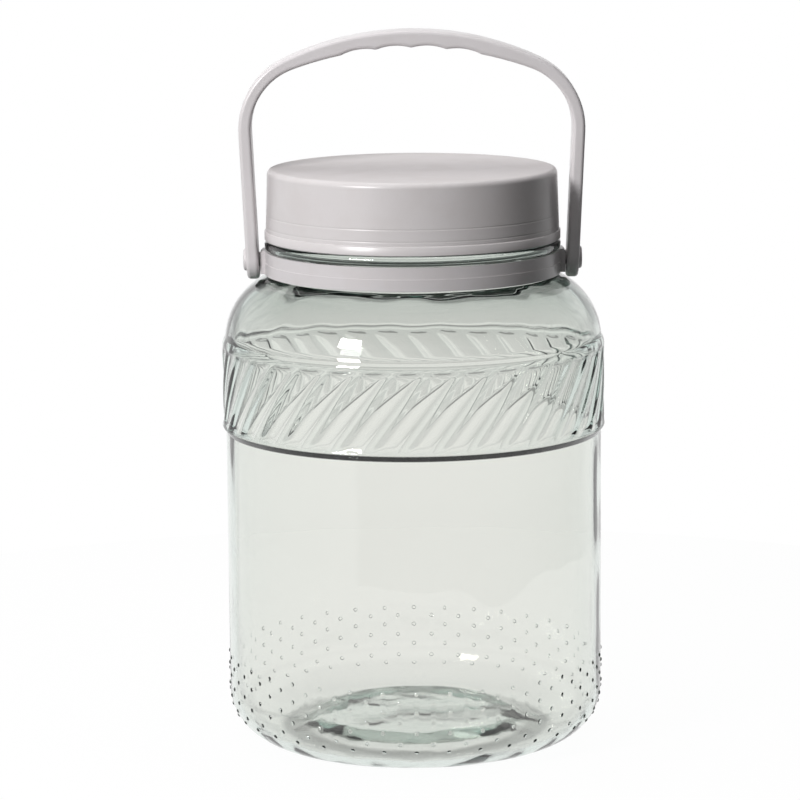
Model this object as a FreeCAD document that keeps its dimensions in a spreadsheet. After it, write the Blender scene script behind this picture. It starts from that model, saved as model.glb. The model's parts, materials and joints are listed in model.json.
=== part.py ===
import FreeCAD, Part
import os
import re

import Sketcher

# Fermentation jar: a wide-necked glass jar with a band of slanted flutes, a plastic screw lid,
# a plastic collar snapped round the neck, and a swinging bail handle hooked on the collar's pins.
# Millimetres. Z is the jar's axis, Z = 0 the table; the handle's pivots lie along X.

SIZES = (
    # glass body
    ("body_radius", 103.2, "outside of the plain glass wall"),
    ("body_wall", 3.0, "thickness of the plain wall"),
    ("heel_radius", 28.0, "outer rounding between base and wall"),
    ("inner_heel_radius", 25.0, "inner rounding between floor and wall"),
    ("trough_height", 3.5, "lowest ring of the inner floor above the table"),
    ("floor_height", 12.0, "middle of the inner floor above the table"),
    ("floor_slope", 28.0, "width over which the inner floor rises from that ring"),
    ("bearing_width", 5.0, "flat ring that stands on the table"),
    ("push_up", 6.0, "rise of the underside inside that ring"),
    ("push_up_slope", 18.0, "width over which the underside rises"),
    # band between the two beads
    ("lower_bead_height", 174.0, "centre of the lower bead above the table"),
    ("lower_bead_width", 2.6, "height of the lower bead along the axis"),
    ("band_height", 48.0, "lower bead to upper bead, centre to centre"),
    ("upper_bead_width", 5.1, "height of the upper bead along the axis"),
    ("bead_bulge", 1.05, "rise of a bead's round back over its two edges"),
    ("band_rise", 1.6, "crest of the fluted band beyond the wall"),
    ("flute_depth", 1.1, "depth of a flute below the crest"),
    ("flute_round", 17.0, "radius of the tool that makes a flute"),
    ("flute_slant", 37.5, "lean of a flute from upright, degrees"),
    ("flute_overrun", 5.0, "end of a flute beyond the middle of the bead over it"),
    ("bead_root", 1.0, "foot of a bead inside the glass round it"),
    # shoulder, neck and mouth
    ("shoulder_radius", 38.5, "outer rounding of the shoulder"),
    ("shoulder_lift", 0.0, "centre of that rounding above the upper bead"),
    ("shoulder_wall", 2.5, "inner rounding of the shoulder inside the outer one"),
    ("inner_shoulder_drop", 2.5, "centre of the inner rounding below the upper bead"),
    ("neck_inset", 24.8, "neck inside the plain wall"),
    ("neck_wall", 4.9, "thickness of the glass under the collar"),
    ("finish_step", 1.6, "glass inside the lid, inside the neck's outside"),
    ("glass_ring_rise", 2.6, "glass ring between collar and lid beyond the neck"),
    ("glass_ring_height", 5.2, "height of that ring"),
    ("glass_ring_round", 2.0, "rounding of that ring and of the rim"),
    # collar
    ("collar_rest", 0.92, "collar above the foot of the neck"),
    ("collar_height", 12.7, "height of the collar"),
    ("collar_wall", 2.3, "thickness of the collar's lower half"),
    ("collar_ledge", 0.3, "step between its lower and upper halves"),
    ("lug_width", 15.0, "lug along Y"),
    ("lug_reach", 2.2, "lug beyond the collar"),
    ("lug_chamfer", 1.2, "bevel on the lug's top"),
    ("pin_lift", 0.95, "pivot axis above the middle of the collar"),
    ("pin_radius", 4.0, "pivot pin"),
    ("pin_length", 6.0, "pin beyond the lug"),
    # lid
    ("lid_height", 38.6, "height of the lid"),
    ("lid_play", 1.3, "room for the thread between glass and lid"),
    ("lid_wall", 2.2, "thickness of the lid's wall at the rim"),
    ("lid_taper", 1.3, "lean of the lid's wall from foot to top"),
    ("lid_rim_height", 5.0, "height of the rim at the foot of the lid"),
    ("lid_rim_step", 0.5, "that rim beyond the wall"),
    ("lid_edge_round", 3.0, "rounding of the top edge"),
    ("lid_roof", 2.6, "thickness of the lid's top"),
    # handle
    ("arm_thickness", 6.8, "arm along X"),
    ("strap_width", 21.5, "strap along Y"),
    ("foot_tuck", 0.6, "arm's inner face inside the shoulder under its foot"),
    ("corner_inset", 31.1, "centre of the corner rounding inside the arm"),
    ("corner_height", 71.4, "centre of the corner rounding above the pivot"),
    ("corner_radius", 34.8, "inner rounding of the corner"),
    ("grip_rise", 44.0, "underside of the grip above the centre of that rounding"),
    ("grip_thickness", 9.4, "grip at the top of the handle"),
    ("finger_pitch", 19.0, "one finger hollow to the next"),
    ("finger_radius", 29.0, "rounding of a finger hollow"),
    ("ridge_round", 3.0, "rounding of the ridges between the hollows"),
    ("strap_round", 2.0, "rounding of the strap's long edges"),
    ("boss_radius", 6.2, "domed boss over the pin"),
    ("boss_height", 2.2, "boss beyond the arm"),
    ("boss_round", 1.4, "rounding of the boss's edge"),
    # clearances
    ("seat_gap", 0.3, "between pieces that rest on each other"),
    ("pin_clearance", 0.05, "pin to hole, on the radius"),
    ("pin_end_gap", 0.4, "end of the pin to the bottom of its hole"),
)

# Places that follow from the sizes above, so that pieces which seat on each other stay together.
LINKS = {
    "inner_floor_edge": "body_radius - body_wall - inner_heel_radius",
    "floor_rise": "floor_height - trough_height",
    "floor_round": "(floor_slope^2 + floor_rise^2) / (4 * floor_rise)",
    "upper_bead_height": "lower_bead_height + band_height",
    "band_radius": "body_radius + band_rise",
    "lower_bead_foot": "lower_bead_height - lower_bead_width / 2",
    "lower_bead_top": "lower_bead_height + lower_bead_width / 2",
    "upper_bead_foot": "upper_bead_height - upper_bead_width / 2",
    "upper_bead_top": "upper_bead_height + upper_bead_width / 2",
    "flute_length": "(band_height + 2 * flute_overrun) / cos(flute_slant)",
    "top_rise": "upper_bead_top - shoulder_height",
    "bead_end": "body_radius - shoulder_radius + sqrt(shoulder_radius^2 - top_rise^2)",
    "shoulder_height": "upper_bead_height + shoulder_lift",
    "inner_shoulder_radius": "shoulder_radius - shoulder_wall",
    "inner_shoulder_height": "upper_bead_height - inner_shoulder_drop",
    "neck_radius": "body_radius - neck_inset",
    "neck_foot": "shoulder_height + sqrt(shoulder_radius^2 - (shoulder_radius - neck_inset)^2)",
    "finish_radius": "neck_radius - finish_step",
    "mouth_radius": "neck_radius - neck_wall",
    "glass_ring_radius": "neck_radius + glass_ring_rise",
    "collar_bore": "neck_radius + seat_gap",
    "collar_radius": "collar_bore + collar_wall",
    "collar_bottom": "neck_foot + collar_rest",
    "collar_top": "collar_bottom + collar_height",
    "collar_middle": "collar_bottom + collar_height / 2",
    "pivot_height": "collar_middle + pin_lift",
    "arm_foot": "pivot_height - strap_width / 2",
    "foot_rise": "arm_foot - shoulder_height",
    "shoulder_at_foot": "body_radius - shoulder_radius + sqrt(shoulder_radius^2 - foot_rise^2)",
    "lug_end": "max(collar_radius + lug_reach; shoulder_at_foot - foot_tuck)",
    "glass_ring_foot": "collar_top + seat_gap",
    "glass_ring_top": "glass_ring_foot + glass_ring_height",
    "lid_bottom": "glass_ring_top + seat_gap",
    "lid_top": "lid_bottom + lid_height",
    "lid_bore": "finish_radius + lid_play",
    "lid_outside": "lid_bore + lid_wall",
    "arm_inside": "lug_end + seat_gap",
    "arm_outside": "arm_inside + arm_thickness",
    "corner_reach": "arm_inside - corner_inset",
    "corner_z": "pivot_height + corner_height",
    "grip_bottom": "corner_z + grip_rise",
    "grip_top": "grip_bottom + grip_thickness",
}
FLUTES = 36
# Two places closer than this count as one.
SAME_PLACE = 0.001

doc = FreeCAD.newDocument("fermentation_jar")
sizes = doc.addObject("Spreadsheet::Sheet", "Sizes")
for row, (alias, value, note) in enumerate(SIZES, start=1):
    sizes.set(f"A{row}", note)
    sizes.set(f"B{row}", str(value))
    sizes.setAlias(f"B{row}", alias)
doc.recompute()


def cells(text):
    """An expression in which each size is read from the sheet and each link is written out."""

    def write_out(match):
        word = match.group()
        return f"({cells(LINKS[word])})" if word in LINKS else f"Sizes.{word}"

    return re.sub(r"\b[a-z]+(?:_[a-z]+)+\b", write_out, text)


def number(text):
    """What such an expression is worth now."""
    return float(sizes.evalExpression(cells(text)))


def origin_plane(body, role):
    return next(item for item in body.Origin.OriginFeatures if item.Role == role)


def add_sketch(body, name, role):
    """An empty sketch on one of the body's own origin planes."""
    sketch = body.newObject("Sketcher::SketchObject", name)
    sketch.AttachmentSupport = [(origin_plane(body, role), "")]
    sketch.MapMode = "FlatFace"
    return sketch


def pin_point(sketch, geometry, end, point):
    """Hold one end of a line or arc at a pair of expressions."""
    for kind, text in zip(("DistanceX", "DistanceY"), point):
        index = sketch.addConstraint(Sketcher.Constraint(kind, -1, 1, geometry, end, number(text)))
        sketch.setExpression(f"Constraints[{index}]", cells(text))


def set_radius(sketch, geometry, text):
    index = sketch.addConstraint(Sketcher.Constraint("Radius", geometry, number(text)))
    sketch.setExpression(f"Constraints[{index}]", cells(text))


def arc_between(start, end, radius, turn):
    """Arc from start to end; turn 1 bends left (counter-clockwise) and -1 bends right."""
    chord = end - start
    middle = (start + end) * 0.5
    rise = max(radius**2 - (chord.Length / 2) ** 2, 0) ** 0.5
    side = FreeCAD.Vector(-chord.y, chord.x, 0).normalize() * rise * turn
    centre = middle + side
    first, last = (start, end) if turn > 0 else (end, start)
    circle = Part.Circle(centre, FreeCAD.Vector(0, 0, 1), radius)
    return Part.ArcOfCircle(circle, circle.parameter(first), circle.parameter(last))


def draw_outline(sketch, corners):
    """Closed outline. A corner is (x, y) and, where the side after it is an arc, (radius, turn)."""
    places = [FreeCAD.Vector(number(c[0]), number(c[1]), 0) for c in corners]
    for index, corner in enumerate(corners):
        following = (index + 1) % len(corners)
        start, end = places[index], places[following]
        if len(corner) == 2:
            side = sketch.addGeometry(Part.LineSegment(start, end), False)
            ends = (1, 2)
        else:
            radius, turn = corner[2], corner[3]
            side = sketch.addGeometry(arc_between(start, end, number(radius), turn), False)
            set_radius(sketch, side, radius)
            ends = (1, 2) if turn > 0 else (2, 1)
        pin_point(sketch, side, ends[0], corner[:2])
        pin_point(sketch, side, ends[1], corners[following][:2])


def add_revolution(body, name, sketch, kind="PartDesign::Revolution", axis="V_Axis"):
    feature = body.newObject(kind, name)
    feature.Profile = sketch
    feature.ReferenceAxis = (sketch, [axis])
    feature.Angle = 360
    return feature


def add_prism(body, name, sketch, kind, length):
    """Pad or pocket that runs half its length to each side of the sketch."""
    feature = body.newObject(kind, name)
    feature.Profile = sketch
    feature.SideType = "Symmetric"
    feature.setExpression("Length", cells(length))
    return feature


def mirror_body(body, name):
    """The whole body so far again on the other side of X = 0."""
    feature = body.newObject("PartDesign::Mirrored", name)
    feature.TransformMode = "Whole shape"
    feature.MirrorPlane = (origin_plane(body, "YZ_Plane"), [""])
    body.Tip = feature
    return feature


def mirror_features(body, name, features):
    """Only the named features again on the other side of X = 0."""
    feature = body.newObject("PartDesign::Mirrored", name)
    feature.Originals = features
    feature.MirrorPlane = (origin_plane(body, "YZ_Plane"), [""])
    body.Tip = feature
    return feature


def make_jar():
    """One piece of moulded glass, turned about Z, with the flutes cut round its band."""
    body = doc.addObject("PartDesign::Body", "jar")
    bore_foot = (
        "inner_shoulder_height + sqrt(inner_shoulder_radius^2"
        " - (mouth_radius - body_radius + body_wall + inner_shoulder_radius)^2)"
    )
    rim = "lid_top - lid_roof - seat_gap"
    bearing = "body_radius - heel_radius"
    ring_side = "glass_ring_radius - glass_ring_round"
    sketch = add_sketch(body, "glass_section", "XZ_Plane")
    draw_outline(
        sketch,
        (
            ("0", "push_up"),
            (f"{bearing} - bearing_width - push_up_slope", "push_up"),
            (f"{bearing} - bearing_width", "0"),
            (bearing, "0", "heel_radius", 1),
            ("body_radius", "heel_radius"),
            ("body_radius", "lower_bead_height"),
            ("band_radius", "lower_bead_height"),
            ("band_radius", "upper_bead_height"),
            ("bead_end", "upper_bead_height"),
            ("bead_end", "upper_bead_top", "shoulder_radius", 1),
            ("neck_radius", "neck_foot"),
            ("neck_radius", "glass_ring_foot"),
            (ring_side, "glass_ring_foot", "glass_ring_round", 1),
            ("glass_ring_radius", "glass_ring_foot + glass_ring_round"),
            ("glass_ring_radius", "glass_ring_top - glass_ring_round", "glass_ring_round", 1),
            (ring_side, "glass_ring_top"),
            ("finish_radius", "glass_ring_top"),
            ("finish_radius", f"{rim} - glass_ring_round / 2", "glass_ring_round / 2", 1),
            ("finish_radius - glass_ring_round / 2", rim),
            ("mouth_radius", rim),
            ("mouth_radius", bore_foot, "inner_shoulder_radius", -1),
            ("body_radius - body_wall", "inner_shoulder_height"),
            ("body_radius - body_wall", "trough_height + inner_heel_radius", "inner_heel_radius", -1),
            ("inner_floor_edge", "trough_height", "floor_round", -1),
            ("inner_floor_edge - floor_slope / 2", "trough_height + floor_rise / 2", "floor_round", 1),
            ("inner_floor_edge - floor_slope", "floor_height"),
            ("0", "floor_height"),
        ),
    )
    add_revolution(body, "glass", sketch)
    doc.recompute()

    # A slanted cut along a cylinder curves with radius / sin(slant)^2, so the tool that cuts a
    # flute swings about a centre that far inside the crest of the band.
    swing = "band_radius / sin(flute_slant)^2"
    swing_centre = f"band_radius - {swing}"
    cutter = add_sketch(body, "flute_section", "XY_Plane")
    lean = FreeCAD.Rotation(FreeCAD.Vector(1, 0, 0), -number("flute_slant"))
    cutter.AttachmentOffset = FreeCAD.Placement(FreeCAD.Vector(0, 0, 0), lean)
    cutter.setExpression("AttachmentOffset.Base.z", cells("lower_bead_height + band_height / 2"))
    cutter.setExpression("AttachmentOffset.Rotation.Angle", cells("-flute_slant"))
    tool_centre = ("band_radius - flute_depth + flute_round", "0")
    tool_place = FreeCAD.Vector(number(tool_centre[0]), 0, 0)
    tool = Part.Circle(tool_place, FreeCAD.Vector(0, 0, 1), number("flute_round"))
    circle = cutter.addGeometry(tool, False)
    set_radius(cutter, circle, "flute_round")
    pin_point(cutter, circle, 3, tool_centre)
    axis_ends = ((swing_centre, "-flute_round"), (swing_centre, "flute_round"))
    axis_line = Part.LineSegment(*(FreeCAD.Vector(number(x), number(y), 0) for x, y in axis_ends))
    axis = cutter.addGeometry(axis_line, True)
    pin_point(cutter, axis, 1, axis_ends[0])
    pin_point(cutter, axis, 2, axis_ends[1])
    flute = add_revolution(body, "flute", cutter, "PartDesign::Groove", "Axis0")
    flute.Midplane = True
    flute.setExpression("Angle", cells(f"flute_length / ({swing}) * 180 / pi"))
    doc.recompute()
    flutes = body.newObject("PartDesign::PolarPattern", "flutes")
    flutes.Originals = [flute]
    flutes.Axis = (next(item for item in body.Origin.OriginFeatures if item.Role == "Z_Axis"), [""])
    flutes.Angle = 360
    flutes.Occurrences = FLUTES
    body.Tip = flutes
    doc.recompute()

    # The beads close the ends of the flutes.
    add_bead(body, "lower_bead", ("body_radius", "lower_bead_foot"), ("band_radius", "lower_bead_top"))
    add_bead(body, "upper_bead", ("band_radius", "upper_bead_foot"), ("bead_end", "upper_bead_top"))


def add_bead(body, name, foot, top):
    """Round glass ring whose back bulges from one place on the outside to another."""
    chord = f"sqrt(({top[0]} - {foot[0]})^2 + ({top[1]} - {foot[1]})^2)"
    back = f"({chord})^2 / (8 * bead_bulge) + bead_bulge / 2"
    root = "body_radius - flute_depth - bead_root"
    sketch = add_sketch(body, f"{name}_section", "XZ_Plane")
    draw_outline(sketch, ((*foot, back, 1), top, (root, top[1]), (root, foot[1])))
    add_revolution(body, name, sketch)


def make_lid():
    """Screw lid: a shallow plastic cup upside down over the glass mouth, with a rim round its foot."""
    body = doc.addObject("PartDesign::Body", "lid")
    rim_top = "lid_bottom + lid_rim_height"
    rim_side = "lid_outside + lid_rim_step"
    top_side = "lid_outside - lid_taper"
    section = add_sketch(body, "lid_section", "XZ_Plane")
    draw_outline(
        section,
        (
            ("lid_bore", "lid_bottom"),
            (rim_side, "lid_bottom"),
            (rim_side, rim_top),
            ("lid_outside", rim_top),
            (top_side, "lid_top - lid_edge_round", "lid_edge_round", 1),
            (f"{top_side} - lid_edge_round", "lid_top"),
            ("0", "lid_top"),
            ("0", "lid_top - lid_roof"),
            ("lid_bore", "lid_top - lid_roof"),
        ),
    )
    add_revolution(body, "lid_shell", section)


def make_collar():
    """Plastic ring round the neck, with a lug and a pivot pin on each side, moulded in one."""
    body = doc.addObject("PartDesign::Body", "collar")
    section = add_sketch(body, "collar_section", "XZ_Plane")
    draw_outline(
        section,
        (
            ("collar_bore", "collar_bottom"),
            ("collar_radius", "collar_bottom"),
            ("collar_radius", "collar_middle"),
            ("collar_radius - collar_ledge", "collar_middle"),
            ("collar_radius - collar_ledge", "collar_top"),
            ("collar_bore", "collar_top"),
        ),
    )
    add_revolution(body, "ring", section)

    lug_root = "collar_bore + collar_ledge"
    lug_side = add_sketch(body, "lug_section", "XZ_Plane")
    draw_outline(
        lug_side,
        (
            (lug_root, "collar_bottom"),
            ("lug_end", "collar_bottom"),
            ("lug_end", "collar_top - lug_chamfer"),
            ("lug_end - lug_chamfer", "collar_top"),
            (lug_root, "collar_top"),
        ),
    )
    add_prism(body, "lug", lug_side, "PartDesign::Pad", "lug_width")

    pin_section = add_sketch(body, "pin_section", "XZ_Plane")
    draw_outline(
        pin_section,
        (
            (lug_root, "pivot_height"),
            ("lug_end + pin_length", "pivot_height"),
            ("lug_end + pin_length", "pivot_height + pin_radius"),
            (lug_root, "pivot_height + pin_radius"),
        ),
    )
    add_revolution(body, "pin", pin_section, axis=add_axis(pin_section, "pivot_height"))
    mirror_body(body, "both_sides")


def make_handle():
    """Bail handle: a plastic strap over the lid, with finger hollows and a blind hole in each arm."""
    body = doc.addObject("PartDesign::Body", "handle")
    outline = add_sketch(body, "strap_outline", "XZ_Plane")
    draw_strap(outline)
    add_prism(body, "half_strap", outline, "PartDesign::Pad", "strap_width")
    doc.recompute()
    strap = mirror_body(body, "strap")
    doc.recompute()

    ridges = body.newObject("PartDesign::Fillet", "finger_ridges")
    ridges.Base = (strap, ridge_edges(strap.Shape))
    ridges.setExpression("Radius", cells("ridge_round"))

    # Each arm ends in a half circle about its pivot.
    end = add_sketch(body, "arm_end", "YZ_Plane")
    beyond = "strap_width / 2 + strap_round"
    below = "arm_foot - strap_round"
    draw_outline(
        end,
        (
            ("-strap_width / 2", "pivot_height", "strap_width / 2", 1),
            ("0", "arm_foot", "strap_width / 2", 1),
            ("strap_width / 2", "pivot_height"),
            (beyond, "pivot_height"),
            (beyond, below),
            (f"-({beyond})", below),
            (f"-({beyond})", "pivot_height"),
        ),
    )
    arm_ends = add_prism(body, "arm_ends", end, "PartDesign::Pocket", "4 * arm_outside")
    doc.recompute()

    softened = body.newObject("PartDesign::Fillet", "long_edges")
    softened.Base = (arm_ends, long_edges(arm_ends.Shape))
    softened.setExpression("Radius", cells("strap_round"))

    boss_root = "arm_inside + arm_thickness / 2"
    boss_face = "arm_outside + boss_height"
    boss_section = add_sketch(body, "boss_section", "XZ_Plane")
    draw_outline(
        boss_section,
        (
            (boss_root, "pivot_height"),
            (boss_face, "pivot_height"),
            (boss_face, "pivot_height + boss_radius - boss_round", "boss_round", 1),
            (f"{boss_face} - boss_round", "pivot_height + boss_radius"),
            (boss_root, "pivot_height + boss_radius"),
        ),
    )
    boss = add_revolution(body, "boss", boss_section, axis=add_axis(boss_section, "pivot_height"))
    mirror_features(body, "both_bosses", [boss])

    hole_section = add_sketch(body, "hole_section", "XZ_Plane")
    hole_start = "arm_inside - arm_thickness"
    hole_end = "lug_end + pin_length + pin_end_gap"
    draw_outline(
        hole_section,
        (
            (hole_start, "pivot_height"),
            (hole_end, "pivot_height"),
            (hole_end, "pivot_height + pin_radius + pin_clearance"),
            (hole_start, "pivot_height + pin_radius + pin_clearance"),
        ),
    )
    hole_axis = add_axis(hole_section, "pivot_height")
    hole = add_revolution(body, "pin_hole", hole_section, "PartDesign::Groove", hole_axis)
    mirror_features(body, "both_holes", [hole])


def ridge_edges(shape):
    """Names of the ridges between and beside the finger hollows, which run along Y."""
    grip = number("grip_bottom")
    spread = 2 * number("finger_pitch")
    names = []
    for index, edge in enumerate(shape.Edges, start=1):
        middle = edge.CenterOfMass
        across = edge.BoundBox.YLength > number("strap_width") / 2
        if across and abs(middle.x) < spread + SAME_PLACE and middle.z < grip + SAME_PLACE:
            names.append(f"Edge{index}")
    return names


def long_edges(shape):
    """Names of the edges round the strap's front and rear faces."""
    half = number("strap_width") / 2
    names = []
    for index, edge in enumerate(shape.Edges, start=1):
        box = edge.optimalBoundingBox(False)
        flat = box.YLength < SAME_PLACE and box.ZLength > SAME_PLACE
        if flat and abs(abs(box.YMin) - half) < SAME_PLACE:
            names.append(f"Edge{index}")
    return names


def add_axis(sketch, height):
    """Construction line along X at a height, to turn a section about."""
    ends = (("0", height), ("arm_inside", height))
    line = Part.LineSegment(*(FreeCAD.Vector(number(x), number(y), 0) for x, y in ends))
    geometry = sketch.addGeometry(line, True)
    pin_point(sketch, geometry, 1, ends[0])
    pin_point(sketch, geometry, 2, ends[1])
    return "Axis0"


def draw_strap(sketch):
    """Right half of the strap: arm, rounded corner, crown, and the finger hollows under the grip."""
    outer_corner = "(corner_radius + arm_thickness)"

    def crown(top, corner):
        """Radius of the arc through the top that meets the corner rounding without a kink."""
        drop = f"({top} - corner_z)"
        return f"(corner_reach^2 + {drop}^2 - ({corner})^2) / (2 * ({drop} - ({corner})))"

    def touch(top, corner):
        """Where that arc and the corner rounding meet."""
        radius = crown(top, corner)
        centre = f"({top} - ({radius}))"
        share = f"({radius}) / (({radius}) - ({corner}))"
        return f"corner_reach * {share}", f"{centre} + (corner_z - {centre}) * {share}"

    def lean(foot_x, corner):
        """Angle by which the arm leans outwards."""
        side = f"({foot_x} - corner_reach)"
        rise = "(corner_height + strap_width / 2)"
        return f"atan2({rise}; {side}) - acos({corner} / sqrt({side}^2 + {rise}^2))"

    def shoulder(foot_x, corner):
        """Where the arm runs into the corner rounding."""
        angle = f"({lean(foot_x, corner)})"
        return f"corner_reach + ({corner}) * cos({angle})", f"corner_z - ({corner}) * sin({angle})"

    inner_crown = crown("grip_bottom", "corner_radius")

    def cusp(count):
        """Ridge between two finger hollows, on the inner arc."""
        x = f"{count} * finger_pitch"
        return x, f"grip_bottom - ({inner_crown}) + sqrt(({inner_crown})^2 - ({x})^2)"

    draw_outline(
        sketch,
        (
            (*cusp(0), "finger_radius", -1),
            (*cusp(1), "finger_radius", -1),
            (*cusp(2), inner_crown, -1),
            (*touch("grip_bottom", "corner_radius"), "corner_radius", -1),
            shoulder("arm_inside", "corner_radius"),
            ("arm_inside", "arm_foot"),
            ("arm_outside", "arm_foot"),
            (*shoulder("arm_outside", outer_corner), outer_corner, 1),
            (*touch("grip_top", outer_corner), crown("grip_top", outer_corner), 1),
            ("0", "grip_top"),
        ),
    )


make_jar()
make_lid()
make_collar()
make_handle()
doc.recompute()

failed = [item.Name for item in doc.Objects if {"Invalid", "Error"} & set(item.State)]
if failed:
    raise RuntimeError(f"not made: {failed}")
bodies = [item for item in doc.Objects if item.TypeId == "PartDesign::Body"]
for body in bodies:
    if body.Shape.isNull() or not body.Shape.isValid() or len(body.Shape.Solids) != 1:
        raise RuntimeError(f"bad shape: {body.Label}")
os.makedirs("parts", exist_ok=True)
for body in bodies:
    body.Shape.exportStep(f"parts/{body.Label}.step")
    print(body.Label, round(body.Shape.Volume), body.Shape.optimalBoundingBox())
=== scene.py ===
import json
import math

import bmesh
import bpy
from mathutils import Matrix, Vector

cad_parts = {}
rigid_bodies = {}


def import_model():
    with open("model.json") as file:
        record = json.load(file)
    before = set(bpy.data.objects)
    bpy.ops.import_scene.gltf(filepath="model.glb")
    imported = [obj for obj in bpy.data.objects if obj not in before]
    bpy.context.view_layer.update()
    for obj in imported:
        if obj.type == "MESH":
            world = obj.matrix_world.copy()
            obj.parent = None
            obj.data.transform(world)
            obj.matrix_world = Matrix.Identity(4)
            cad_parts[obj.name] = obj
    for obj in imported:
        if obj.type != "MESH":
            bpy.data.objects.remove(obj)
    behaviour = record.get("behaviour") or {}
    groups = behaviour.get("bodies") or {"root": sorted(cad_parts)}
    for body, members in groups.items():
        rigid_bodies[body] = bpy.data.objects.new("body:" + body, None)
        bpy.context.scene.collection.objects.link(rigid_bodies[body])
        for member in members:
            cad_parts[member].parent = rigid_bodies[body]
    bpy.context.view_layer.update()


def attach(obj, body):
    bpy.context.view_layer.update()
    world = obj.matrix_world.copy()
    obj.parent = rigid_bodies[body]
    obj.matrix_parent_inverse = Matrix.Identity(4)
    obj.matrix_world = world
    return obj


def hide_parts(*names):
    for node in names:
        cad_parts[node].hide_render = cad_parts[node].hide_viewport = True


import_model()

# ---------------------------------------------------------------------------------------------
# Studio: a white sweep that goes all round under a dark ceiling, a soft box to the left in
# front, a weaker fill, a lamp overhead, and a long lens that looks slightly down on the jar.
# Heights in the sweep are the upward share of a direction; gloss and glass each meet their own.
MM = 0.001
scene = bpy.context.scene
scene.view_settings.view_transform = "Standard"


def link(tree, source, target):
    tree.links.new(source, target)


def add_node(tree, kind, settings=None, **inputs):
    """A node with its settings and inputs; an input given a socket is linked to it."""
    made = tree.nodes.new(kind)
    for key, value in (settings or {}).items():
        setattr(made, key, value)
    for key, value in inputs.items():
        name = key.replace("_", " ")
        socket = made.inputs[int(key[1:])] if key[1:].isdigit() else made.inputs[name]
        if isinstance(value, bpy.types.NodeSocket):
            link(tree, value, socket)
        else:
            socket.default_value = value
    return made


def calculate(tree, operation, first, second=0.0, third=0.0):
    """One arithmetic step; returns its output socket."""
    made = add_node(tree, "ShaderNodeMath", {"operation": operation}, _0=first, _1=second, _2=third)
    return made.outputs[0]


def ramp_between(tree, value, low, high, start=0.0, end=1.0):
    """Smooth step of a value from start at low to end at high."""
    made = add_node(tree, "ShaderNodeMapRange", {"interpolation_type": "SMOOTHSTEP"}, Value=value)
    for name, number in (("From Min", low), ("From Max", high), ("To Min", start), ("To Max", end)):
        made.inputs[name].default_value = number
    return made.outputs["Result"]


def seen_directly(tree):
    """1 for rays from the camera, from gloss and through glass."""
    rays = tree.nodes.new("ShaderNodeLightPath")
    both = calculate(tree, "MAXIMUM", rays.outputs["Is Camera Ray"], rays.outputs["Is Glossy Ray"])
    return calculate(tree, "MAXIMUM", both, rays.outputs["Is Transmission Ray"]), rays


AMBIENT = 0.02
CEILING_GLOW = 0.05
LEFT_EDGE = (-0.66, -0.58)
RIGHT_EDGE = (1.7, 2.5)
SWEEP_TOP = (0.25, 0.60)
WALL_TOP = (-0.165, -0.12)
WALL_GLOW = 0.80
GAP_FOOT = (0.07, 0.11)
GAP_TOP = (0.21, 0.235)
GAP_GLOW = 0.5
PANEL_GLOW = 0.8
GLASS_TOP = (0.50, 0.75)
GLASS_FOOT = (-0.40, -0.18)
FOOT_GLOW = 0.45
FRONT_GLOW = 0.30
world = bpy.data.worlds.new("studio")
scene.world = world
world.use_nodes = True
tree = world.node_tree
tree.nodes.clear()
place = tree.nodes.new("ShaderNodeTexCoord")
direction = add_node(tree, "ShaderNodeSeparateXYZ", Vector=place.outputs["Generated"])
rise = direction.outputs["Z"]
forward = calculate(tree, "MULTIPLY", direction.outputs["Y"], -1.0)
azimuth = calculate(tree, "ARCTAN2", direction.outputs["X"], forward)
left_side = ramp_between(tree, azimuth, *LEFT_EDGE, 1.0, FRONT_GLOW)
right_side = ramp_between(tree, azimuth, *RIGHT_EDGE, FRONT_GLOW, 1.0)
round_about = calculate(tree, "MAXIMUM", left_side, right_side)
ceiling = ramp_between(tree, rise, *SWEEP_TOP, 1.0, CEILING_GLOW)
mirrored = calculate(tree, "MULTIPLY", round_about, ceiling)
low_wall = ramp_between(tree, rise, *WALL_TOP, 1.0, WALL_GLOW)
wall = calculate(tree, "MULTIPLY", low_wall, ramp_between(tree, rise, *GAP_FOOT, 1.0, GAP_GLOW))
panel = ramp_between(tree, rise, *GAP_TOP, 0.0, PANEL_GLOW)
under_ceiling = ramp_between(tree, rise, *GLASS_TOP, 1.0, CEILING_GLOW)
above = calculate(tree, "MULTIPLY", calculate(tree, "MAXIMUM", wall, panel), under_ceiling)
below = ramp_between(tree, rise, *GLASS_FOOT, FOOT_GLOW, 1.0)
through = calculate(tree, "MULTIPLY", above, below)
visible, rays = seen_directly(tree)
by_glass = rays.outputs["Is Transmission Ray"]
sweep = add_node(tree, "ShaderNodeMix", {"data_type": "FLOAT"}, Factor=by_glass, _2=mirrored, _3=through)
sweep = calculate(tree, "MAXIMUM", sweep.outputs[0], rays.outputs["Is Camera Ray"])
level = add_node(tree, "ShaderNodeMix", {"data_type": "FLOAT"}, Factor=visible, _2=AMBIENT, _3=sweep)
sky = add_node(tree, "ShaderNodeBackground", Color=(1, 1, 1, 1), Strength=level.outputs[0])
add_node(tree, "ShaderNodeOutputWorld", Surface=sky.outputs[0])


def add_piece(name, bm, smooth=True):
    """Object at the origin that holds the finished bmesh."""
    mesh = bpy.data.meshes.new(name)
    for face in bm.faces:
        face.smooth = smooth
    bm.to_mesh(mesh)
    bm.free()
    piece = bpy.data.objects.new(name, mesh)
    scene.collection.objects.link(piece)
    return piece


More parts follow.
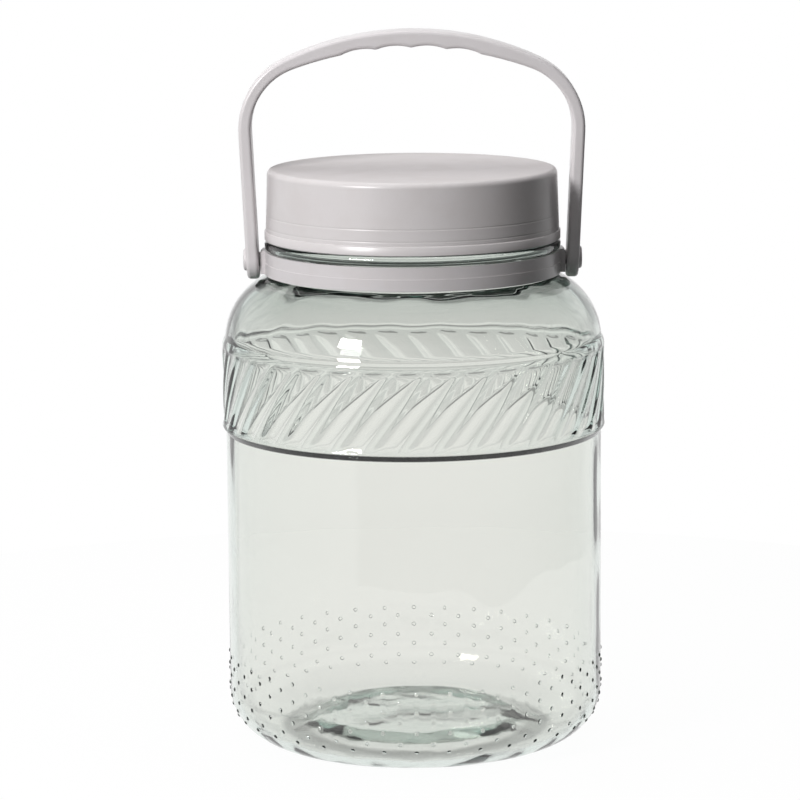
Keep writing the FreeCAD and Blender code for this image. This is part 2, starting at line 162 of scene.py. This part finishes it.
FLOOR_RADIUS = 0.55
FLOOR_MATT = 0.25
FLOOR_SHARE = 0.88
FLOOR_GLOW = 1.10
# The floor's glow drops to SHADED_GLOW in a ring under the jar's foot: a painted shadow, on top of the
# shadow that the lamps cast on the matt part.
SHADE_INSIDE = (0.052, 0.064)
SHADE_OUTSIDE = (0.072, 0.079)
SHADED_GLOW = 0.5
bm = bmesh.new()
bmesh.ops.create_circle(bm, cap_ends=True, segments=96, radius=FLOOR_RADIUS)
floor = add_piece("floor", bm, False)
floor_paint = bpy.data.materials.new("white sweep")
floor_paint.use_nodes = True
tree = floor_paint.node_tree
tree.nodes.clear()
visible, rays = seen_directly(tree)
matt = add_node(tree, "ShaderNodeBsdfDiffuse", Color=(FLOOR_MATT, FLOOR_MATT, FLOOR_MATT, 1))
place = tree.nodes.new("ShaderNodeTexCoord")
from_axis = add_node(tree, "ShaderNodeVectorMath", {"operation": "LENGTH"}, _0=place.outputs["Object"])
# Painted shadow: the glow falls inside the jar's footprint and rises again just past its foot.
outer = ramp_between(tree, from_axis.outputs["Value"], *SHADE_OUTSIDE, SHADED_GLOW, FLOOR_GLOW)
inner = ramp_between(tree, from_axis.outputs["Value"], *SHADE_INSIDE, FLOOR_GLOW, SHADED_GLOW)
level = calculate(tree, "MAXIMUM", outer, inner)
glow = add_node(tree, "ShaderNodeEmission", Color=(1, 1, 1, 1), Strength=level)
share = calculate(tree, "MULTIPLY", visible, FLOOR_SHARE)
both = add_node(tree, "ShaderNodeMixShader", Fac=share, _1=matt.outputs[0], _2=glow.outputs[0])
add_node(tree, "ShaderNodeOutputMaterial", Surface=both.outputs[0])
floor.data.materials.append(floor_paint)

LAMP_AIM = (0, 0, 0.25)


def add_lamp(name, place, size, watts, mirrored=True):
    """Square soft box that faces the jar; one that is not mirrored shows in no gloss or glass."""
    lamp = bpy.data.lights.new(name, "AREA")
    lamp.size = size
    lamp.energy = watts
    holder = bpy.data.objects.new(name, lamp)
    holder.location = place
    away = Vector(LAMP_AIM) - Vector(place)
    holder.rotation_euler = away.to_track_quat("-Z", "Y").to_euler()
    holder.visible_glossy = mirrored
    holder.visible_transmission = mirrored
    scene.collection.objects.link(holder)


add_lamp("key", (-1.13, -1.30, 0.97), 0.48, 31)
add_lamp("fill", (-0.5, -1.9, 0.9), 0.6, 0.8, False)
add_lamp("overhead", (-0.1, 0.15, 1.7), 1.8, 23, False)

LENS = 162.36
CAMERA_PLACE = (-7.5 * MM, -1958 * MM, 527 * MM)
LOOK_DOWN = math.radians(9.84)
ROLL = math.radians(-0.43)
camera_data = bpy.data.cameras.new("camera")
camera_data.sensor_width = 36.0
camera_data.lens = LENS
camera = bpy.data.objects.new("camera", camera_data)
camera.location = CAMERA_PLACE
turn = Matrix.Rotation(math.pi / 2 - LOOK_DOWN, 4, "X") @ Matrix.Rotation(ROLL, 4, "Z")
camera.rotation_euler = turn.to_euler()
scene.collection.objects.link(camera)
scene.camera = camera

# ---------------------------------------------------------------------------------------------
# Glass jar: one piece of pressed soda-lime glass with a faint green tint, a domed base with a
# hollow underside, a band of slanted flutes between a sharp ledge and a bead, and staggered
# rows of small raised dots round the heel. Its surface is slightly wavy, as pressed glass is.
BODY_RADIUS = 103.2
WALL = 3.0
HEEL_RADIUS = 28.0
INNER_HEEL_RADIUS = 25.0
TROUGH_HEIGHT = 3.5
FLOOR_SLOPE = 28.0
FLOOR_HEIGHT = 12.0
BEARING_WIDTH = 5.0
PUSH_UP = 6.0
PUSH_UP_SLOPE = 18.0
LEDGE_FOOT = 172.3
LEDGE_CREST = 174.9
LEDGE_RADIUS = 104.9
LEDGE_ROUND = 1.5
LEDGE_TOP = 176.6
UPPER_BEAD_FOOT = 219.45
UPPER_BEAD_TOP = 224.55
BEAD_BULGE = 0.5
BAND_RADIUS = 104.8
SHOULDER_RADIUS = 38.5
SHOULDER_HEIGHT = 222.0
INNER_SHOULDER_RADIUS = 36.0
INNER_SHOULDER_HEIGHT = 219.5
NECK_RADIUS = 78.4
FINISH_RADIUS = 76.8
MOUTH_RADIUS = 73.5
RING_RADIUS = 81.0
RING_ROUND = 2.0
RIM_ROUND = 1.0
RING_FOOT = 271.9
RING_TOP = 277.1
RIM_HEIGHT = 313.1
FLUTES = 36
RIB_HEIGHT = 0.8
HOLLOW_STEEPNESS = 0.09
FLUTE_RUN_OUT = 3.0
RIB_HALF_FOOT = 3.8
RIB_HALF_TOP = 2.8
FLUTE_SLANT = math.radians(37.5)
TURN_STEPS = 16 * FLUTES
REST_ROW = 0.4
BAND_REST = 0.7


def arc(start, end, radius, turn, steps):
    """Points from start to just before end on an arc; turn 1 bends left and -1 bends right."""
    start, end = Vector(start), Vector(end)
    chord = end - start
    rise = math.sqrt(max(radius**2 - (chord.length / 2) ** 2, 0)) * turn
    centre = (start + end) / 2 + Vector((-chord.y, chord.x)).normalized() * rise
    first, last = start - centre, end - centre
    sweep = math.atan2(first.x * last.y - first.y * last.x, first.dot(last))
    return [tuple(centre + Matrix.Rotation(sweep * step / steps, 2) @ first) for step in range(steps)]


def straight(start, end, steps):
    """Points from start to just before end on a straight line."""
    start, end = Vector(start), Vector(end)
    return [tuple(start.lerp(end, step / steps)) for step in range(steps)]


def bead(start, end, steps):
    """Points of a bead whose back bulges outwards between start and end."""
    chord = math.dist(start, end)
    return arc(start, end, chord**2 / (8 * BEAD_BULGE) + BEAD_BULGE / 2, 1, steps)


MERGE_REACH = 0.001 * MM


def turn_outline(points, steps, leans=None):
    """Closed surface made by turning an outline (radius, height in mm) about the jar's axis.

    An outline may start or end on the axis; the stretch on the axis itself makes no edge.
    """
    bm = bmesh.new()
    verts = []
    for (radius, height), lean in zip(points, leans or [0.0] * len(points)):
        place = Vector((radius * math.cos(lean), radius * math.sin(lean), height))
        verts.append(bm.verts.new(place * MM))
    off_axis = [max(first[0], second[0]) > 0 for first, second in zip(points, points[1:])]
    edges = [bm.edges.new(pair) for pair, kept in zip(zip(verts, verts[1:]), off_axis) if kept]
    if points[0][0] > 0:
        edges.append(bm.edges.new((verts[-1], verts[0])))
    bmesh.ops.spin(
        bm, geom=verts + edges, cent=(0, 0, 0), axis=(0, 0, 1),
        angle=2 * math.pi, steps=steps, use_merge=True,
    )
    bmesh.ops.remove_doubles(bm, verts=bm.verts, dist=MERGE_REACH)
    bmesh.ops.recalc_face_normals(bm, faces=bm.faces)
    return bm


bearing = BODY_RADIUS - HEEL_RADIUS
bearing_inside = bearing - BEARING_WIDTH
ring_flat = RING_RADIUS - RING_ROUND
rim_side = RIM_HEIGHT - RIM_ROUND
bore = BODY_RADIUS - WALL
shoulder_x = BODY_RADIUS - SHOULDER_RADIUS
bead_end = shoulder_x + math.sqrt(SHOULDER_RADIUS**2 - (UPPER_BEAD_TOP - SHOULDER_HEIGHT) ** 2)
neck_foot = SHOULDER_HEIGHT + math.sqrt(SHOULDER_RADIUS**2 - (NECK_RADIUS - shoulder_x) ** 2)
inner_x = bore - INNER_SHOULDER_RADIUS
bore_foot = INNER_SHOULDER_HEIGHT + math.sqrt(INNER_SHOULDER_RADIUS**2 - (MOUTH_RADIUS - inner_x) ** 2)
floor_edge = bore - INNER_HEEL_RADIUS
inner_heel_top = TROUGH_HEIGHT + INNER_HEEL_RADIUS
floor_rise = FLOOR_HEIGHT - TROUGH_HEIGHT
floor_round = (FLOOR_SLOPE**2 + floor_rise**2) / (4 * floor_rise)
slope_middle = (floor_edge - FLOOR_SLOPE / 2, (FLOOR_HEIGHT + TROUGH_HEIGHT) / 2)
outline = [
    (0, PUSH_UP),
    *straight((20, PUSH_UP), (bearing_inside - PUSH_UP_SLOPE, PUSH_UP), 2),
    *straight((bearing_inside - PUSH_UP_SLOPE, PUSH_UP), (bearing_inside, 0), 3),
    (bearing_inside, 0),
    *arc((bearing, 0), (BODY_RADIUS, HEEL_RADIUS), HEEL_RADIUS, 1, 14),
    (BODY_RADIUS, HEEL_RADIUS),
    *straight((BODY_RADIUS, 50), (BODY_RADIUS, LEDGE_FOOT - REST_ROW), 2),
    (BODY_RADIUS, LEDGE_FOOT - REST_ROW),
    *straight((BODY_RADIUS, LEDGE_FOOT), (LEDGE_RADIUS, LEDGE_CREST), 3),
    *arc((LEDGE_RADIUS, LEDGE_CREST), (BAND_RADIUS, LEDGE_TOP), LEDGE_ROUND, 1, 4),
    (BAND_RADIUS, LEDGE_TOP),
    *straight((BAND_RADIUS, LEDGE_TOP + BAND_REST), (BAND_RADIUS, UPPER_BEAD_FOOT - BAND_REST), 26),
    (BAND_RADIUS, UPPER_BEAD_FOOT - BAND_REST),
    *bead((BAND_RADIUS, UPPER_BEAD_FOOT), (bead_end, UPPER_BEAD_TOP), 7),
    *arc((bead_end, UPPER_BEAD_TOP), (NECK_RADIUS, neck_foot), SHOULDER_RADIUS, 1, 14),
    (NECK_RADIUS, neck_foot),
    (NECK_RADIUS, RING_FOOT),
    *arc((ring_flat, RING_FOOT), (RING_RADIUS, RING_FOOT + RING_ROUND), RING_ROUND, 1, 5),
    *arc((RING_RADIUS, RING_TOP - RING_ROUND), (ring_flat, RING_TOP), RING_ROUND, 1, 5),
    (ring_flat, RING_TOP),
    (FINISH_RADIUS, RING_TOP),
    *arc((FINISH_RADIUS, rim_side), (FINISH_RADIUS - RIM_ROUND, RIM_HEIGHT), RIM_ROUND, 1, 3),
    (FINISH_RADIUS - RIM_ROUND, RIM_HEIGHT),
    *arc((MOUTH_RADIUS + RIM_ROUND, RIM_HEIGHT), (MOUTH_RADIUS, rim_side), RIM_ROUND, 1, 3),
    (MOUTH_RADIUS, rim_side),
    *straight((MOUTH_RADIUS, RIM_HEIGHT - 8), (MOUTH_RADIUS, bore_foot), 2),
    *arc((MOUTH_RADIUS, bore_foot), (bore, INNER_SHOULDER_HEIGHT), INNER_SHOULDER_RADIUS, -1, 13),
    *straight((bore, INNER_SHOULDER_HEIGHT), (bore, inner_heel_top), 5),
    *arc((bore, inner_heel_top), (floor_edge, TROUGH_HEIGHT), INNER_HEEL_RADIUS, -1, 13),
    *arc((floor_edge, TROUGH_HEIGHT), slope_middle, floor_round, -1, 5),
    *arc(slope_middle, (floor_edge - FLOOR_SLOPE, FLOOR_HEIGHT), floor_round, 1, 5),
    (floor_edge - FLOOR_SLOPE, FLOOR_HEIGHT),
    (40, FLOOR_HEIGHT),
    (20, FLOOR_HEIGHT),
    (0, FLOOR_HEIGHT),
]
band_middle = (LEDGE_TOP + UPPER_BEAD_FOOT) / 2
band_half = (UPPER_BEAD_FOOT - LEDGE_TOP) / 2
leans = []
past_band = False
for radius, height in outline:
    past_band = past_band or height > UPPER_BEAD_FOOT
    rise = band_half if past_band else min(max(height - band_middle, -band_half), band_half)
    leans.append(rise * math.tan(FLUTE_SLANT) / BAND_RADIUS)
bm = turn_outline(outline, TURN_STEPS, leans)


def flute_depth(angle, height):
    """Depth in mm at a place on the band: narrow round ribs stand between shallow hollows."""
    pitch = 2 * math.pi / FLUTES
    along_band = angle - (height - band_middle) * math.tan(FLUTE_SLANT) / BAND_RADIUS
    across = abs((along_band + pitch / 2) % pitch - pitch / 2) * BAND_RADIUS * math.cos(FLUTE_SLANT)
    share = (height - band_middle + band_half) / (2 * band_half)
    rib = RIB_HALF_FOOT + (RIB_HALF_TOP - RIB_HALF_FOOT) * share
    half = pitch / 2 * BAND_RADIUS * math.cos(FLUTE_SLANT)
    reach = half - rib
    rib_round = (rib**2 + RIB_HEIGHT**2) / (2 * RIB_HEIGHT)
    off_rib = min(half - across, rib)
    rib_depth = rib_round - math.sqrt(rib_round**2 - off_rib**2)
    hollow_depth = HOLLOW_STEEPNESS * reach * max(1 - (across / reach) ** 2, 0.0)
    run_out = min((band_half - abs(height - band_middle)) / FLUTE_RUN_OUT, 1.0)
    return (rib_depth + hollow_depth) * run_out * (2 - run_out)


for vert in bm.verts:
    x, y, z = vert.co / MM
    radius = math.hypot(x, y)
    if abs(radius - BAND_RADIUS) < 0.01 and LEDGE_TOP + 0.1 < z < UPPER_BEAD_FOOT - 0.1:
        scale = (radius - flute_depth(math.atan2(x, -y), z)) / radius
        vert.co.x *= scale
        vert.co.y *= scale

jar = add_piece("glass_jar", bm)

DOT_ROWS = (46.8, 42.2, 36.9, 30.9, 25.4, 18.6, 14.0)
DOTS_ROUND = 36
DOT_RADIUS = 1.2
DOT_RISE = 0.7
SHARP_ANGLE = math.radians(32)


def heel_place(height):
    """Radius of the outer surface at a height, and the way it faces there."""
    if height >= HEEL_RADIUS:
        return BODY_RADIUS, 0.0
    down = HEEL_RADIUS - height
    across = math.sqrt(HEEL_RADIUS**2 - down**2)
    return bearing + across, -math.atan2(down, across)


bm = bmesh.new()
for row, height in enumerate(DOT_ROWS):
    stagger = (row % 2) / 2
    radius, facing = heel_place(height)
    for count in range(DOTS_ROUND):
        angle = 2 * math.pi * (count + stagger) / DOTS_ROUND
        lean = Matrix.Rotation(angle, 4, "Z") @ Matrix.Translation((radius * MM, 0, height * MM))
        lean = lean @ Matrix.Rotation(-facing, 4, "Y")
        lean = lean @ Matrix.Diagonal((DOT_RISE * MM, DOT_RADIUS * MM, DOT_RADIUS * MM, 1))
        bmesh.ops.create_icosphere(bm, subdivisions=2, radius=1, matrix=lean)
dots = add_piece("dots", bm)
joined = jar.modifiers.new("dots", "BOOLEAN")
joined.operation = "UNION"
joined.solver = "MANIFOLD"
joined.object = dots
fused = bpy.data.meshes.new_from_object(jar.evaluated_get(bpy.context.evaluated_depsgraph_get()))
jar.modifiers.clear()
jar.data = fused
bpy.data.objects.remove(dots)
jar.data.shade_smooth()
jar.data.set_sharp_from_angle(angle=SHARP_ANGLE)

GLASS_TINT = (0.984, 0.956, 0.936, 1)
GLASS_SHADOW = (0.93, 0.95, 0.93, 1)
GLASS_DEPTH_TINT = (0.33, 0.56, 0.50, 1)
GLASS_DENSITY = 48.0
# Painted shade: the underside of the ledge is coloured near black where light meets it from outside,
# standing in for the dark line that the ledge's refraction gives.
LEDGE_PAINTED_SHADE = (0.001, 0.001, 0.001, 1)
BASE_MOTTLE = 0.3
WAVE_HEIGHT = 0.0012
glass = bpy.data.materials.new("pale green glass")
glass.use_nodes = True
tree = glass.node_tree
tree.nodes.clear()
place = tree.nodes.new("ShaderNodeTexCoord")
stretch = add_node(tree, "ShaderNodeMapping", Vector=place.outputs["Object"])
stretch.inputs["Scale"].default_value = (1, 1, 0.25)
ripple = add_node(tree, "ShaderNodeTexNoise", Vector=stretch.outputs[0], Scale=28.0, Detail=1.0)
lumps = add_node(tree, "ShaderNodeTexNoise", Vector=place.outputs["Object"], Scale=14.0, Detail=1.0)
both = calculate(tree, "ADD", ripple.outputs[0], lumps.outputs[0])
height = add_node(tree, "ShaderNodeSeparateXYZ", Vector=place.outputs["Object"]).outputs["Z"]
in_base = ramp_between(tree, height, 13 * MM, 16 * MM, BASE_MOTTLE, 0.0)
mottle = add_node(tree, "ShaderNodeTexNoise", Vector=place.outputs["Object"], Scale=60.0, Detail=1.0)
both = calculate(tree, "MULTIPLY_ADD", mottle.outputs[0], in_base, both)
waves = add_node(tree, "ShaderNodeBump", Height=both, Strength=1.0, Distance=WAVE_HEIGHT)
flat = add_node(tree, "ShaderNodeVectorMath", {"operation": "MULTIPLY"}, _0=place.outputs["Object"])
flat.inputs[1].default_value = (1, 1, 0)
from_axis = add_node(tree, "ShaderNodeVectorMath", {"operation": "LENGTH"}, _0=flat.outputs[0])
# Mask of the painted shade: the outer face of the glass between the ledge's foot and its crest, seen
# from outside only.
outside = ramp_between(
    tree, from_axis.outputs["Value"], (BODY_RADIUS - 1.5) * MM, (BODY_RADIUS - 0.8) * MM
)
over_foot = ramp_between(tree, height, (LEDGE_FOOT - 0.5) * MM, (LEDGE_FOOT + 0.1) * MM)
under_crest = ramp_between(
    tree, height, (LEDGE_CREST + 0.1) * MM, (LEDGE_CREST + 0.8) * MM, 1.0, 0.0
)
painted_ledge_shade = calculate(tree, "MULTIPLY", outside, calculate(tree, "MULTIPLY", over_foot, under_crest))
from_inside = tree.nodes.new("ShaderNodeNewGeometry").outputs["Backfacing"]
painted_ledge_shade = calculate(tree, "MULTIPLY", painted_ledge_shade, calculate(tree, "SUBTRACT", 1.0, from_inside))
shade = add_node(tree, "ShaderNodeMix", {"data_type": "RGBA"}, Factor=painted_ledge_shade)
shade.inputs[6].default_value = GLASS_TINT
shade.inputs[7].default_value = LEDGE_PAINTED_SHADE
body = add_node(tree, "ShaderNodeBsdfPrincipled", Normal=waves.outputs[0])
link(tree, shade.outputs[2], body.inputs["Base Color"])
body.inputs["Roughness"].default_value = 0.0
body.inputs["IOR"].default_value = 1.5
body.inputs["Transmission Weight"].default_value = 1.0
clear = add_node(tree, "ShaderNodeBsdfTransparent", Color=GLASS_SHADOW)
rays = tree.nodes.new("ShaderNodeLightPath")
passing = calculate(tree, "MAXIMUM", rays.outputs["Is Shadow Ray"], rays.outputs["Is Diffuse Ray"])
surface = add_node(tree, "ShaderNodeMixShader", Fac=passing, _1=body.outputs[0], _2=clear.outputs[0])
tint = add_node(tree, "ShaderNodeVolumeAbsorption", Color=GLASS_DEPTH_TINT, Density=GLASS_DENSITY)
add_node(tree, "ShaderNodeOutputMaterial", Surface=surface.outputs[0], Volume=tint.outputs[0])
jar.data.materials.clear()
jar.data.materials.append(glass)
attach(jar, "root")
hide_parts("jar")

# ---------------------------------------------------------------------------------------------
# Cap: moulded grey polypropylene, matt on top and glossy down the side, with a thicker rim at
# the foot and two fine ring lines above it. It screws over the neck of the glass.
LID_FOOT = 277.4
LID_TOP = 316.0
LID_FOOT_RADIUS = 80.3
LID_TOP_RADIUS = 79.0
LID_RIM_RADIUS = 80.8
LID_RIM_HEIGHT = 5.0
LID_BORE = 78.1
LID_EDGE_ROUND = 3.0
LID_ROOF = 2.6
LINE_HEIGHTS = (284.9, 291.4)
LINE_HALF = 0.45
LINE_DEPTH = 0.10
LINE_REST = 0.3
LID_STEPS = 288
LID_SHARP_ANGLE = math.radians(40)


def lid_radius(height):
    """Radius of the tapered side at a height."""
    share = (height - LID_FOOT) / (LID_TOP - LID_FOOT)
    return LID_FOOT_RADIUS + (LID_TOP_RADIUS - LID_FOOT_RADIUS) * share


rim_top = LID_FOOT + LID_RIM_HEIGHT
side = [(lid_radius(rim_top + 0.3), rim_top + 0.3), (lid_radius(rim_top + 0.7), rim_top + 0.7)]
for line in LINE_HEIGHTS:
    side += [
        (lid_radius(line - LINE_HALF - LINE_REST), line - LINE_HALF - LINE_REST),
        (lid_radius(line - LINE_HALF), line - LINE_HALF),
        (lid_radius(line) - LINE_DEPTH, line - LINE_HALF / 3),
        (lid_radius(line) - LINE_DEPTH, line + LINE_HALF / 3),
        (lid_radius(line + LINE_HALF), line + LINE_HALF),
        (lid_radius(line + LINE_HALF + LINE_REST), line + LINE_HALF + LINE_REST),
    ]
edge_foot = LID_TOP - LID_EDGE_ROUND
top_edge = LID_TOP_RADIUS - LID_EDGE_ROUND
bm = turn_outline([
    (LID_BORE, LID_FOOT),
    (LID_RIM_RADIUS - 0.5, LID_FOOT),
    (LID_RIM_RADIUS, LID_FOOT + 0.5),
    (LID_RIM_RADIUS, rim_top - 0.4),
    (LID_RIM_RADIUS - 0.3, rim_top),
    *side,
    (lid_radius(edge_foot - 0.5), edge_foot - 0.5),
    *arc((lid_radius(edge_foot), edge_foot), (top_edge, LID_TOP), LID_EDGE_ROUND, 1, 8),
    (top_edge, LID_TOP),
    *straight((70, LID_TOP), (10, LID_TOP), 4),
    (10, LID_TOP),
    (0, LID_TOP),
    (0, LID_TOP - LID_ROOF),
    (LID_BORE - 2, LID_TOP - LID_ROOF),
    (LID_BORE, LID_TOP - LID_ROOF - 2),
], LID_STEPS)
lid = add_piece("cap", bm)
lid.data.set_sharp_from_angle(angle=LID_SHARP_ANGLE)

ROUGHNESS = 0.31
SPECK_FINENESS = 22
GRAIN_SCALE = 1800.0
GRAIN_HEIGHT = 0.00003
MATT_TOP = 0.33


def grey_plastic(name, colour, dark, scale):
    """Moulded plastic: cloudy pigment, fine darker specks, uneven gloss and a faint grain."""
    paint = bpy.data.materials.new(name)
    paint.use_nodes = True
    tree = paint.node_tree
    shader = tree.nodes["Principled BSDF"]
    place = tree.nodes.new("ShaderNodeTexCoord").outputs["Object"]
    clouds = add_node(tree, "ShaderNodeTexNoise", Vector=place, Scale=scale, Detail=4.0)
    fine = scale * SPECK_FINENESS
    specks = add_node(tree, "ShaderNodeTexNoise", Vector=place, Scale=fine, Detail=2.0)
    speck_share = ramp_between(tree, specks.outputs[0], 0.62, 0.74, 0.0, 0.30)
    cloud_share = ramp_between(tree, clouds.outputs[0], 0.38, 0.68, 0.0, 0.22)
    mixed = calculate(tree, "MAXIMUM", speck_share, cloud_share)
    pigment = add_node(tree, "ShaderNodeMix", {"data_type": "RGBA"}, Factor=mixed)
    pigment.inputs[6].default_value = (*colour, 1)
    pigment.inputs[7].default_value = (*dark, 1)
    link(tree, pigment.outputs[2], shader.inputs["Base Color"])
    gloss = ramp_between(tree, clouds.outputs[0], 0.3, 0.7, ROUGHNESS - 0.03, ROUGHNESS + 0.04)
    grain = add_node(tree, "ShaderNodeTexNoise", Vector=place, Scale=GRAIN_SCALE, Detail=1.0)
    relief = add_node(
        tree, "ShaderNodeBump", Height=grain.outputs[0], Strength=0.12, Distance=GRAIN_HEIGHT
    )
    link(tree, relief.outputs[0], shader.inputs["Normal"])
    shader.inputs["IOR"].default_value = 1.49
    return paint, tree, shader, place, gloss


CAP_GREY = (0.62, 0.59, 0.593)
CAP_DARK = (0.53, 0.49, 0.48)
paint, tree, shader, place, gloss = grey_plastic("cap plastic", CAP_GREY, CAP_DARK, 55)
height = add_node(tree, "ShaderNodeSeparateXYZ", Vector=place).outputs["Z"]
matt_top = ramp_between(tree, height, (LID_TOP - 1.2) * MM, (LID_TOP - 0.1) * MM, 0.0, MATT_TOP)
link(tree, calculate(tree, "ADD", gloss, matt_top), shader.inputs["Roughness"])
lid.data.materials.append(paint)
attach(lid, "root")
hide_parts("lid")

# ---------------------------------------------------------------------------------------------
# Collar: moulded ring of the same grey plastic, seated round the neck under the cap, with a
# fine ledge at half its height and a bevelled lug and pin on each side for the handle.
COLLAR_GREY = (0.61, 0.58, 0.59)
COLLAR_DARK = (0.53, 0.49, 0.48)


def repaint(node, name, colour, dark, scale):
    """Gives a node's own solid a grey plastic in place of its plain paint."""
    paint, tree, shader, _, gloss = grey_plastic(name, colour, dark, scale)
    link(tree, gloss, shader.inputs["Roughness"])
    for piece in bpy.data.objects:
        if piece.type == "MESH" and piece.name.startswith(node):
            piece.data.materials.clear()
            piece.data.materials.append(paint)


repaint("collar", "collar plastic", COLLAR_GREY, COLLAR_DARK, 70)

# ---------------------------------------------------------------------------------------------
# Handle: stiff moulded bail of grey plastic with finger hollows under the grip and a domed boss
# over each pin; it swings on the collar's two pins.
HANDLE_GREY = (0.67, 0.64, 0.65)
HANDLE_DARK = (0.57, 0.535, 0.53)
repaint("handle", "handle plastic", HANDLE_GREY, HANDLE_DARK, 60)
